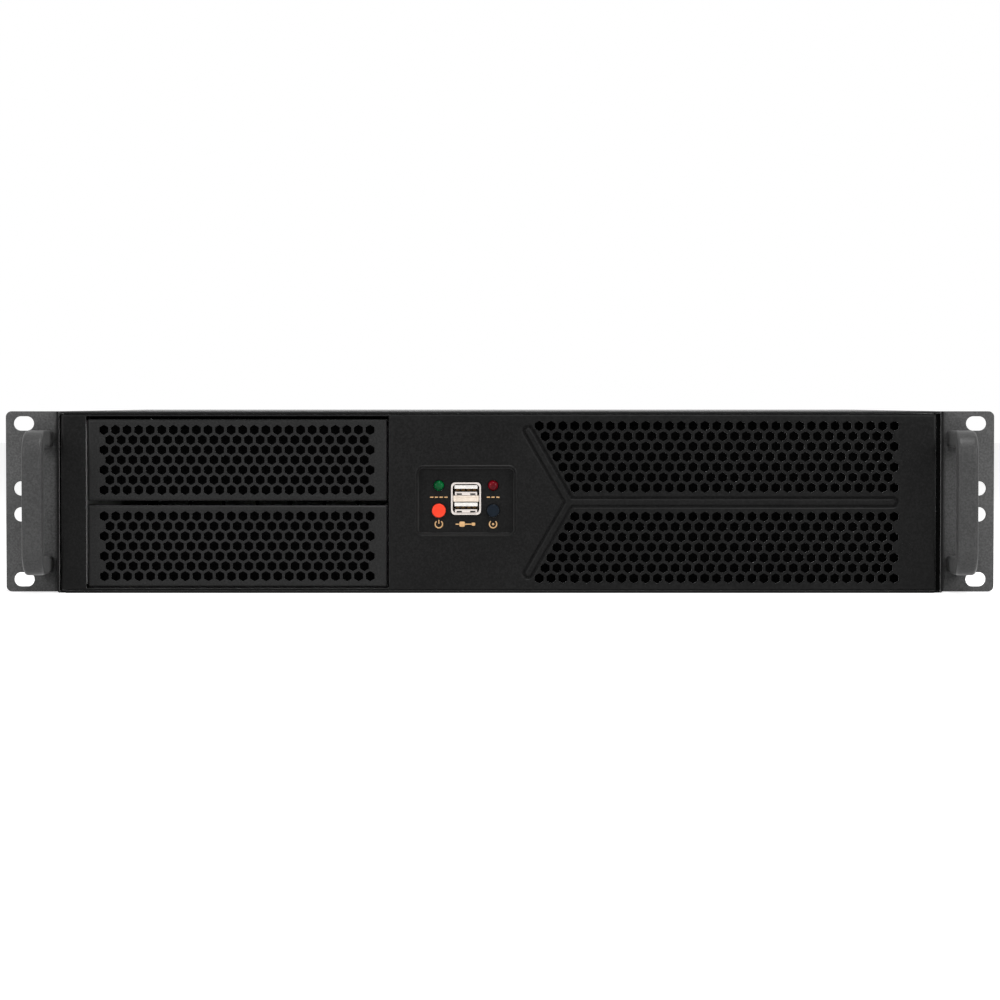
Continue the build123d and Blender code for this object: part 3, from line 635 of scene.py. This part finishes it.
# base, lid, rear panel, ears, cage and bracket: folded sheets of the CAD with broken edges, small holes
sheetEdges = {"chassis_base": 0.3, "top_cover": 0.25, "rack_ear": 0.3, "fan_bracket": 0.15,
              "rear_panel": 0.2, "drive_cage": 0.15, "slot_covers": 0.15, "supply_support": 0.2}
railHoles = {"radius": 2.1, "z": 44.0, "y": [64, 96, 160, 224, 288, 352], "reach": 220}
standoffs = {"x": (-198.65, -41.17, 83.29), "y": (371.54, 216.6, 144.21), "cornerY": 348.68}
feet = {"y": (30, 90, 128), "x": (-206.1, -48.5), "groove": 0.15}
lidScrews = {"x": (-180, 0, 180), "z": 81.6, "back": 397.3, "hole": 3.3, "seat": 1.05}
handleScrews = {"x": 223.45, "z": (13.2, 74.9), "hole": 3.3, "depth": 1.3, "seat": 1.1}
fanHoles = {"x": (63.5, 147.5), "spread": 35.75, "radius": 2.1, "y": (0, 3),
            "reliefX": (187.0, 194.6), "reliefY": (-14.0, -1.5), "reliefZ": ((49.2, 86.5), (2.5, 38.9))}


def standoffPlaces():
    places = [(x, y) for x in standoffs["x"] for y in standoffs["y"]]
    # the standoff at the board's last corner is set forward
    places[6] = (standoffs["x"][2], standoffs["cornerY"])
    return places


def makeBase():
    base = cadCopy("chassis_base", "chassisBaseSkin")
    reach = railHoles["reach"]
    tools = [addRod("railHole", railHoles["radius"], -reach, reach, 20, "X", (y, railHoles["z"]))
             for y in railHoles["y"]]
    combine(base, joinAll(tools, "railHoles"))
    footPlaces = [(x, y) for x in feet["x"] for y in feet["y"]]
    grooves = [ringCutter(place, -1, 1 + feet["groove"], "Z") for place in standoffPlaces() + footPlaces]
    combine(base, joinAll(grooves, "grooves"))
    roundEdges(base, sheetEdges["chassis_base"], 2, foldAngle)
    finishPiece(base, "case", "coat", ["chassis_base"])


def makeLid():
    lid = cadCopy("top_cover", "topCoverSkin")
    tools = [addRod("screwHole", lidScrews["hole"], lidScrews["back"] - 2, lidScrews["back"] + 1, 28, "Y",
                    (x, lidScrews["z"])) for x in lidScrews["x"]]
    combine(lid, joinAll(tools, "screwHoles"))
    roundEdges(lid, sheetEdges["top_cover"], 2, foldAngle)
    finishPiece(lid, "lid", "coverCoat", ["top_cover"])


def makeEar(side):
    name = "left" if side < 0 else "right"
    ear = cadCopy("rack_ear_" + name, name + "EarSkin")
    tools = [addRod("screwHole", handleScrews["hole"], -handleScrews["depth"], 1, 28, "Y",
                    (side * handleScrews["x"], z)) for z in handleScrews["z"]]
    combine(ear, joinAll(tools, "screwHoles"))
    roundEdges(ear, sheetEdges["rack_ear"], 2, foldAngle)
    # the ear's coat is painted lighter than the panel's, a painted highlight
    finishPiece(ear, "case", "litEarCoat", ["rack_ear_" + name])


def makeBracket():
    bracket = cadCopy("fan_bracket", "fanBracketSkin")
    spread = fanHoles["spread"]
    tools = [addRod("fanHole", fanHoles["radius"], fanHoles["y"][0], fanHoles["y"][1], 20, "Y",
                    (x + across * spread, frontPanel["middle"] + up * spread))
             for x in fanHoles["x"] for across in (-1, 1) for up in (-1, 1)]
    # the end foot is relieved behind the last row of holes
    tools += [addBlock("relief", fanHoles["reliefX"], fanHoles["reliefY"], z) for z in fanHoles["reliefZ"]]
    combine(bracket, joinAll(tools, "fanHoles"))
    roundEdges(bracket, sheetEdges["fan_bracket"], 2, foldAngle)
    finishPiece(bracket, "case", "coat", ["fan_bracket"])


def makeSheet(node, name, finish):
    sheet = cadCopy(node, name)
    roundEdges(sheet, sheetEdges[node], 2, foldAngle)
    finishPiece(sheet, "case", finish, [node])


makeBase()
makeLid()
for side in (-1, 1):
    makeEar(side)
makeBracket()
makeSheet("rear_panel", "rearPanelSkin", "coat")
makeSheet("drive_cage", "driveCageSkin", "coat")
makeSheet("slot_covers", "slotCoversSkin", "zinc")
makeSheet("supply_support", "supplySupportSkin", "zinc")
print("sheets made")


# handles: a rounded bar bent twice, with its flat feet on the ears
handle = {"x": 223.45, "width": 10.1, "bar": 8.3, "edge": 1.9, "foot": -2.0, "front": -40.0, "half": 34.8,
          "bend": 12.5, "bendSteps": 14, "middle": 44.05}


def makeHandle(side):
    settings = handle
    bar = settings["bar"]
    x = side * settings["x"]
    half = settings["width"] / 2
    low = settings["middle"] - settings["half"]
    bend = settings["bend"]
    bow = flatPlate("bow", (x - half, x + half), (low, low + bar), settings["foot"], settings["edge"],
                    segments=5)
    pickFaces(bow)
    steps = settings["bendSteps"]
    reach = settings["foot"] - settings["front"] - bend
    run = 2 * (settings["half"] - bend)
    centre = Vector((x, settings["front"] + bend, low + bend))
    bpy.ops.mesh.extrude_region_move(TRANSFORM_OT_translate={"value": (0, -reach, 0)})
    bpy.ops.mesh.spin(steps=steps, angle=math.pi / 2, center=centre, axis=(1, 0, 0))
    bpy.ops.mesh.extrude_region_move(TRANSFORM_OT_translate={"value": (0, 0, run)})
    bpy.ops.mesh.spin(steps=steps, angle=math.pi / 2, center=centre + Vector((0, 0, run)), axis=(1, 0, 0))
    bpy.ops.mesh.extrude_region_move(TRANSFORM_OT_translate={"value": (0, reach, 0)})
    bpy.ops.mesh.select_all(action="SELECT")
    bpy.ops.mesh.remove_doubles(threshold=0.001)
    bpy.ops.mesh.normals_make_consistent(inside=False)
    setMode("OBJECT")
    name = "left" if side < 0 else "right"
    bow.name = name + "HandleBow"
    finishPiece(bow, "case", "handleCoat", ["handle_" + name], angle=40)


for side in (-1, 1):
    makeHandle(side)
print("handles made")


# control group: lamps, keys, the twin socket, printed marks and the board behind
def makeLamp(name, x, finish, node):
    lamp = addRod(name, lamps["radius"], lamps["tip"], lamps["end"], 40, "Y", (x, lamps["z"]))
    pick(lamp, "EDGE", lambda a, b: abs(a.y - lamps["tip"]) < 0.01 and abs(b.y - lamps["tip"]) < 0.01)
    bpy.ops.mesh.bevel(offset=lamps["dome"], segments=8, affect="EDGES")
    setMode("OBJECT")
    half = lamps["leadHalf"]
    leads = []
    for place in (x - lamps["leadPitch"] / 2, x + lamps["leadPitch"] / 2):
        leads.append(addBlock("lead", (place - half, place + half), (lamps["end"] - 1, usb["back"]),
                              (lamps["z"] - half, lamps["z"] + half)))
    finishPiece(joinAll([lamp] + leads, name), "case", finish, [node], angle=50, weighted=False)


def makeKey(name, x, radius, finish, body, node):
    front = keys["front"]
    cap = addRod(name, radius, front, keys["flangeY"], 48, "Y", (x, keys["z"]))
    pick(cap, "FACE", lambda centre, normal: normal.y < -0.9)
    bpy.ops.mesh.inset(thickness=keys["edge"] + keys["rim"], depth=0)
    bpy.ops.mesh.inset(thickness=keys["dishSlope"], depth=keys["dish"])
    setMode("OBJECT")
    pick(cap, "EDGE", lambda a, b: abs(a.y - front) < 0.01 and abs(b.y - front) < 0.01
         and (a - Vector((x, front, keys["z"]))).length > radius - 0.01
         and (b - Vector((x, front, keys["z"]))).length > radius - 0.01)
    bpy.ops.mesh.bevel(offset=keys["edge"], segments=4, affect="EDGES")
    setMode("OBJECT")
    half = radius + keys["flangeRim"]
    flangeEnd = keys["flangeY"] + keys["flangeThick"]
    flange = addBlock("flange", (x - half, x + half), (keys["flangeY"], flangeEnd),
                      (keys["z"] - half, keys["z"] + half))
    roundEdges(flange, keys["flangeEdge"])
    stemHalf = keys["stem"] / 2
    stem = addBlock("stem", (x - stemHalf, x + stemHalf), (flangeEnd, keys["stemEnd"]),
                    (keys["z"] - stemHalf, keys["z"] + stemHalf))
    roundEdges(stem, keys["stemEdge"])
    finishPiece(joinAll([cap, flange, stem], name), body, finish, [node], angle=40)


# half is half a part's width, back how far it starts behind the shell's front, z its lower and upper face
socketParts = {"springs": {"half": 5.4, "back": 0.7, "end": 2.0, "z": (-2.7, -0.95), "edge": 0.15},
               "slotShade": {"half": 1.3, "back": 0.55, "end": 2.0, "z": (-2.5, -1.7), "edge": 0.1, "apart": 3.3},
               "tongue": {"half": 5.6, "back": 0.5, "end": 3.0, "z": (-1.8, 0.0), "edge": 0.15, "top": 2.3},
               "contact": {"half": 0.85, "back": 0.8, "end": 2.0, "z": (-0.95, -0.02), "edge": 0.08,
                           "pitch": 2.7, "count": 4},
               "divider": {"half": 6.2, "back": 0.35, "end": 3.0, "z": (-1.5, 1.4), "edge": 0.15},
               "line": {"half": 5.6, "back": 0.0, "end": -11.7, "z": (0.45, 0.6)},
               "body": {"gap": 0.05, "front": 0.5, "depth": 4, "edge": 0.2}}


def socketBar(name, x, z):
    part = socketParts[name]
    return addBlock(name, (x - part["half"], x + part["half"]), (usb["front"] + part["back"], part["end"]),
                    (z + part["z"][0], z + part["z"][1]))


def makeSocket():
    # a stamped shell, with the springs' plate at the foot of each mouth
    shell = deepen(usbPlate(0, usb["front"]), usb["back"] - usb["front"])
    combine(shell, deepen(usbPlate(usb["rim"], usb["front"] - 1), 14))
    roundEdges(shell, usb["edge"], 2, 30)
    x = usb["x"]
    plates, marks, bars, contacts = [], [], [], []
    tongue, contact = socketParts["tongue"], socketParts["contact"]
    for way in (-1, 1):
        z = usb["z"] + way * usb["rise"]
        plates.append(socketBar("springs", x, z))
        for across in (-1, 1):
            # two black blocks on each springs' plate: painted shade for the slots that lie dark in it
            marks.append(socketBar("slotShade", x + across * socketParts["slotShade"]["apart"], z))
        bars.append(socketBar("tongue", x, z + tongue["top"]))
        for index in range(contact["count"]):
            place = x + (index - (contact["count"] - 1) / 2) * contact["pitch"]
            contacts.append(socketBar("contact", place, z + tongue["top"] + tongue["z"][0]))
    for name, group in (("springs", plates), ("slotShade", marks), ("tongue", bars), ("contact", contacts)):
        for bar in group:
            roundEdges(bar, socketParts[name]["edge"])
    divider = socketBar("divider", x, usb["z"])
    combine(divider, socketBar("line", x, usb["z"]))
    roundEdges(divider, socketParts["divider"]["edge"])
    body = socketParts["body"]
    back = deepen(usbPlate(usb["rim"] + body["gap"], body["front"]), body["depth"])
    roundEdges(back, body["edge"], 2, 30)
    finishPiece(joinAll([shell] + plates, "socketShell"), "case", "nickel", ["usb_shell"])
    finishPiece(joinAll(bars, "socketTongues"), "case", "white", ["usb_insulator"])
    finishPiece(joinAll([divider, back], "socketBody"), "case", "cream")
    # the black blocks are painted shade for the slots in the springs' plates
    finishPiece(joinAll(marks, "socketSlotShade"), "case", "chip")
    finishPiece(joinAll(contacts, "socketContacts"), "case", "goldInPaintedShade")


# bars are given as x and z from their place, width, height and corner
marks = {"z": 33.3, "radius": 2.05, "line": 0.55, "thick": 0.06, "gap": 38, "dashes": (4, 3), "dashZ": 46.4,
         "dashPitch": 2.3, "dashWidth": 1.6, "corner": 0.2, "standbyBar": (0, 1.15, 0.5, 2.0, 0.2),
         "resetDot": (0, 0, 1.1, 1.1, 0.5), "plugX": 0.2,
         "plug": [(-2.1, 0, 2.6, 2.5, 0.6), (0.9, 0, 3.4, 0.5, 0.2), (3.4, 0, 1.7, 1.5, 0.4),
                  (-4.3, 0, 1.9, 0.5, 0.2)]}


def inkRing(x):
    # a printed ring, open at the top by the gap angle either side
    deselectAll()
    bpy.ops.mesh.primitive_circle_add(vertices=72, radius=marks["radius"], fill_type="NGON")
    ring = bpy.context.object
    ring.rotation_euler = (math.pi / 2, 0, 0)
    ring.location = (x, recess["floor"] - marks["thick"], marks["z"])
    applyPlace(ring)
    pickFaces(ring)
    bpy.ops.mesh.inset(thickness=marks["line"], depth=0)
    bpy.ops.mesh.delete(type="FACE")
    setMode("OBJECT")
    middle = Vector((x, recess["floor"] - marks["thick"], marks["z"]))
    pick(ring, "FACE", lambda centre, normal: abs(math.degrees(math.atan2(centre.x - middle.x,
                                                                         centre.z - middle.z)))
         < marks["gap"])
    bpy.ops.mesh.delete(type="FACE")
    setMode("OBJECT")
    return deepen(ring, marks["thick"])


def inkBar(x, z, bar):
    x, z = x + bar[0], z + bar[1]
    width, height, corner = bar[2:]
    plate = flatPlate("inkBar", (x - width / 2, x + width / 2), (z - height / 2, z + height / 2),
                      recess["floor"] - marks["thick"], corner, segments=5)
    return deepen(plate, marks["thick"])


def makePrints():
    # a standby mark, a reset mark and a plain plug mark, screened on the recess floor
    standby, reset = lamps["x"]
    pieces = [inkRing(standby), inkBar(standby, marks["z"], marks["standbyBar"]),
              inkRing(reset), inkBar(reset, marks["z"], marks["resetDot"])]
    pieces += [inkBar(usb["x"] + marks["plugX"], marks["z"], bar) for bar in marks["plug"]]
    dash = (0, 0, marks["dashWidth"], marks["line"], marks["corner"])
    for middle, count in zip(lamps["x"], marks["dashes"]):
        for index in range(count):
            place = middle + (index - (count - 1) / 2) * marks["dashPitch"]
            pieces.append(inkBar(place, marks["dashZ"], dash))
    finishPiece(joinAll(pieces, "printedMarks"), "case", "ink")


board = {"back": 6.6, "headerX": (-34, -6), "headerHalf": 7, "headerZ": (34, 40), "headerHeight": 6,
         "wellRim": 1, "wellFloor": 1.4, "headerEdge": 0.25, "pinPitch": 2.54, "pinsInRow": 5,
         "pinZ": (35.7, 38.3), "pinHalf": 0.32, "pin": (1, 5.4), "pinEdge": 0.1,
         "chips": [(-38, 50, 6, 5), (-24, 48, 4, 4), (-2, 51, 2.2, 1.3), (3, 51, 2.2, 1.3),
                   (8, 47, 1.3, 2.2), (-12, 55, 2.2, 1.3)], "chipHeight": 1.2, "chipEdge": 0.15}
solder = {"switchRadius": 0.9, "switchHeight": 1.0, "switchEdge": 0.5, "switchX": 3.2, "switchZ": 2.3,
          "radius": 0.8, "height": 0.9, "edge": 0.45, "pitch": 2.5, "rise": 6}


def makeHeaders(back):
    bodies, pins = [], []
    low, high = board["headerZ"]
    rim, half = board["wellRim"], board["pinHalf"]
    for x in board["headerX"]:
        reach = board["headerHalf"]
        body = addBlock("header", (x - reach, x + reach), (back, back + board["headerHeight"]), (low, high))
        combine(body, addBlock("well", (x - reach + rim, x + reach - rim),
                               (back + board["wellFloor"], back + board["headerHeight"] + 2),
                               (low + rim, high - rim)))
        roundEdges(body, board["headerEdge"])
        bodies.append(body)
        for index in range(board["pinsInRow"]):
            place = x + (index - (board["pinsInRow"] - 1) / 2) * board["pinPitch"]
            for z in board["pinZ"]:
                pins.append(addBlock("pin", (place - half, place + half),
                                     (back + board["pin"][0], back + board["pin"][1]), (z - half, z + half)))
                roundEdges(pins[-1], board["pinEdge"])
    return bodies, pins


def makeJoints(back):
    # drops of solder under the legs of the switches and of the socket
    drops = []
    for x in keys["x"]:
        for across in (-solder["switchX"], solder["switchX"]):
            for up in (-solder["switchZ"], solder["switchZ"]):
                drops.append(addRod("joint", solder["switchRadius"], back, back + solder["switchHeight"], 16,
                                    "Y", (x + across, keys["z"] + up)))
                roundEdges(drops[-1], solder["switchEdge"], 3)
    for up in (-0.5, 0.5):
        for index in range(4):
            drops.append(addRod("joint", solder["radius"], back, back + solder["height"], 16, "Y",
                                (usb["x"] + (index - 1.5) * solder["pitch"], usb["z"] + up * solder["rise"])))
            roundEdges(drops[-1], solder["edge"], 3)
    return drops


def makeBoardParts():
    # headers, chips and soldered pins on the back of the control board
    back = board["back"]
    parts, pins = makeHeaders(back)
    for x, z, width, height in board["chips"]:
        body = addBlock("chip", (x - width / 2, x + width / 2), (back, back + board["chipHeight"]),
                        (z - height / 2, z + height / 2))
        roundEdges(body, board["chipEdge"])
        parts.append(body)
    finishPiece(joinAll(parts, "boardParts"), "case", "chip")
    finishPiece(joinAll(pins, "boardPins"), "case", "goldInPaintedShade")
    finishPiece(joinAll(makeJoints(back), "boardJoints"), "case", "solder")


makeLamp("greenLamp", lamps["x"][0], "greenLens", "power_led")
makeLamp("redLamp", lamps["x"][1], "redLens", "drive_led")
makeKey("powerKey", keys["x"][0], keys["radii"][0], "red", "power_key", "power_button")
makeKey("resetKey", keys["x"][1], keys["radii"][1], "blueBlack", "reset_key",
        "reset_button")
makeSocket()
makePrints()
makeBoardParts()
print("control group made")


# screws: one domed and one flat head with a cross, copied to their places
screw = {"radius": 2.9, "height": 1.7, "flat": 1.0, "cross": (3.2, 0.75), "crossDepth": 0.9, "dome": 0.6,
         "flatEdge": 0.15}
earScrews = {"x": 217.0, "y": (14, 36), "z": (20, 68)}
slotScrews = {"first": -76.0, "pitch": 20.32, "count": 7, "y": 389.3, "z": 82.3}


def makeHead(name, height, domed):
    # stands on the origin and faces up
    head = addRod(name, screw["radius"], 0, height, 32, "Z")
    pick(head, "EDGE", lambda a, b: a.z > height - 0.01 and b.z > height - 0.01)
    if domed:
        bpy.ops.mesh.bevel(offset=height * screw["dome"], segments=5, affect="EDGES")
    else:
        bpy.ops.mesh.bevel(offset=screw["flatEdge"], segments=2, affect="EDGES")
    setMode("OBJECT")
    length, width = (value / 2 for value in screw["cross"])
    depth = (height - screw["crossDepth"], height + 1)
    cross = addBlock("cross", (-length, length), (-width, width), depth)
    combine(cross, addBlock("crossArm", (-width, width), (-length, length), depth), "UNION")
    combine(head, cross)
    return head


def makeScrews():
    domed = makeHead("domedHead", screw["height"], True)
    flat = makeHead("flatHead", screw["flat"], False)
    onEars = []
    for side in (-1, 1):
        for y in earScrews["y"]:
            for z in earScrews["z"]:
                onEars.append(copyTo(domed, "earScrew", (side * earScrews["x"], y, z), (0, side * 90, 0)))
    finishPiece(joinAll(onEars, "earScrews"), "case", "screw")
    behind = [copyTo(flat, "handleScrew", (side * handleScrews["x"], -handleScrews["seat"], z), (-90, 0, 0))
              for side in (-1, 1) for z in handleScrews["z"]]
    finishPiece(joinAll(behind, "handleScrews"), "case", "screw")
    onLid = [copyTo(flat, "lidScrew", (x, lidScrews["back"] - lidScrews["seat"], lidScrews["z"]),
                    (-90, 0, 0)) for x in lidScrews["x"]]
    finishPiece(joinAll(onLid, "lidScrews"), "lid", "screw")
    onSlots = [copyTo(domed, "slotScrew", (slotScrews["first"] - slotScrews["pitch"] * index, slotScrews["y"],
                                           slotScrews["z"])) for index in range(slotScrews["count"])]
    finishPiece(joinAll(onSlots, "slotScrews"), "case", "brightScrew")
    bpy.data.objects.remove(domed)
    bpy.data.objects.remove(flat)


makeScrews()
print("screws made")


# the CAD nodes that stay, each with its own finish
plainNodes = {"dust_filter": "foam", "board_standoffs": "brass", "control_posts": "brass",
              "control_switches": "switch", "control_board": "mask"}
for node, finish in plainNodes.items():
    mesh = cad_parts[node].data
    mesh.materials.clear()
    mesh.materials.append(finishes[finish])
print("frame nodes finished")


# studio: pale floor that reads white, soft lamps, camera straight on as in the photo
studio = {"cameraHeight": 0.092, "cameraDistance": 1.6, "aimHeight": 0.0447, "lens": 117.8, "sensor": 36,
          "sky": 0.2, "floorGlow": 0.66, "floorSize": 12, "floorDrop": 0.0003, "lampAim": (0, 0.1, 0.045)}
softLamps = {"leftLamp": ((-0.8, -0.62, 0.35), 0.4, 4.0), "rightLamp": ((0.8, -0.62, 0.4), 0.4, 4.3),
             "topLamp": ((0.15, -0.38, 1.3), 0.5, 14)}


def seenRays(tree):
    # 1 for what the eye sees straight, in a gloss or through a lens, 0 for soft light
    ways = addNode(tree, "ShaderNodeLightPath")
    direct = addNode(tree, "ShaderNodeMath", {"operation": "ADD", "use_clamp": True},
                     {0: (ways, "Is Camera Ray"), 1: (ways, "Is Glossy Ray")})
    return addNode(tree, "ShaderNodeMath", {"operation": "ADD", "use_clamp": True},
                   {0: (direct, "Value"), 1: (ways, "Is Transmission Ray")})


def makeFloor():
    # smooth pale paper: lifted to white where it is seen, so that the case keeps its soft shadow
    # its tooth is drawn 2 mm wide, coarser than real paper has it
    material, tree, shader, where = newMaterial("matPaperFloor", {"Roughness": 0.85})
    speck = addNode(tree, "ShaderNodeTexNoise", {"Scale": 1 / (2 * mm), **fineNoise}, where)
    colors = addNode(tree, "ShaderNodeValToRGB", {"stops": [(0.3, "#E2E2E2"), (0.7, "#EAEAEA")]},
                     {"Fac": (speck, "Fac")})
    tooth = addNode(tree, "ShaderNodeBump", {"Strength": 0.1, "Distance": 0.02 * mm},
                    {"Height": (speck, "Fac")})
    wire(tree, shader, colors, None, tooth)
    shown = seenRays(tree)
    share = addNode(tree, "ShaderNodeMath", {"operation": "MULTIPLY"}, {0: (shown, "Value")})
    share.inputs[1].default_value = studio["floorGlow"]
    glow = addNode(tree, "ShaderNodeEmission", {"Color": (1, 1, 1, 1)}, {"Strength": (share, "Value")})
    both = addNode(tree, "ShaderNodeAddShader", links={0: (shader, "BSDF"), 1: (glow, "Emission")})
    output = [node for node in tree.nodes if node.type == "OUTPUT_MATERIAL"][0]
    tree.links.new(both.outputs["Shader"], output.inputs["Surface"])
    deselectAll()
    # a hair below the case, so that no two faces share a plane
    bpy.ops.mesh.primitive_plane_add(size=studio["floorSize"], location=(0, 0, -studio["floorDrop"]))
    floor = bpy.context.object
    floor.name = "floor"
    floor.data.materials.append(material)


def makeWorld():
    world = bpy.data.worlds.new("studioWorld")
    bpy.context.scene.world = world
    world.use_nodes = True
    tree = world.node_tree
    tree.nodes.clear()
    shown = seenRays(tree)
    soft = addNode(tree, "ShaderNodeBackground", {"Color": (1, 1, 1, 1), "Strength": studio["sky"]})
    bright = addNode(tree, "ShaderNodeBackground", {"Color": (1, 1, 1, 1), "Strength": 1.0})
    mix = addNode(tree, "ShaderNodeMixShader", links={"Fac": (shown, "Value"), 1: (soft, "Background"),
                                                      2: (bright, "Background")})
    addNode(tree, "ShaderNodeOutputWorld", links={"Surface": (mix, "Shader")})


def aimAt(thing, target):
    thing.rotation_euler = (Vector(target) - thing.location).to_track_quat("-Z", "Y").to_euler()


def makeLampsAndCamera():
    for name, (place, size, power) in softLamps.items():
        data = bpy.data.lights.new(name, "AREA")
        data.size = size
        data.energy = power
        lamp = bpy.data.objects.new(name, data)
        bpy.context.scene.collection.objects.link(lamp)
        lamp.location = place
        aimAt(lamp, studio["lampAim"])
    data = bpy.data.cameras.new("camera")
    data.lens = studio["lens"]
    data.sensor_width = studio["sensor"]
    camera = bpy.data.objects.new("camera", data)
    bpy.context.scene.collection.objects.link(camera)
    camera.location = (0, -studio["cameraDistance"], studio["cameraHeight"])
    aimAt(camera, (0, 0, studio["aimHeight"]))
    bpy.context.scene.camera = camera
    bpy.context.scene.view_settings.view_transform = "Standard"


makeFloor()
makeWorld()
makeLampsAndCamera()
print("studio made")
